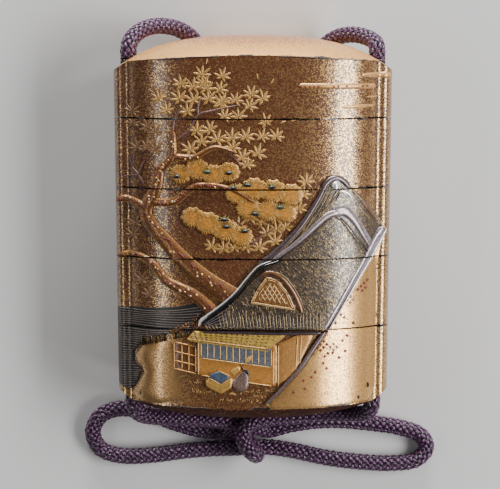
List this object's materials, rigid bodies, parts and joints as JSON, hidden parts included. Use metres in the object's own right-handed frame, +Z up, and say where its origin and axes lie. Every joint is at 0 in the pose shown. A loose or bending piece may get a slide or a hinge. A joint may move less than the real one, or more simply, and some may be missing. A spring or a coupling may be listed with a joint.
{
  "type": "inro case",
  "caption": "Stacked lacquer inro with a domed lid and nesting boxes, flattened oval section, relief landscape on the front, and a braided cord through side runners with a bow below.",
  "frame": {"origin": "middle of the case's bounding box, with its relief and without its cord", "axes": "the case lies on its back: +X to the right across the front, +Y from the base to the lid, +Z up, out of the front"},
  "size_m": [0.076, 0.0984, 0.0298],
  "materials": {
    "gold_lacquer": "polished red-brown lacquer over thin wood, closely sprinkled with gold powder, with raised gold, silver and coloured lacquer pictures",
    "silk_cord": "dark purple braided silk"
  },
  "bodies": {
    "root": {"lid": "gold_lacquer", "case_1": "gold_lacquer", "case_2": "gold_lacquer", "case_3": "gold_lacquer", "case_4": "gold_lacquer", "cord_in_left_runner": "silk_cord", "cord_in_right_runner": "silk_cord", "cord_over_back": "silk_cord", "cord_below_left": "silk_cord", "cord_below_right": "silk_cord", "bow_left_loop": "silk_cord", "bow_right_loop": "silk_cord", "bow_knot": "silk_cord"}
  },
  "joints": []
}
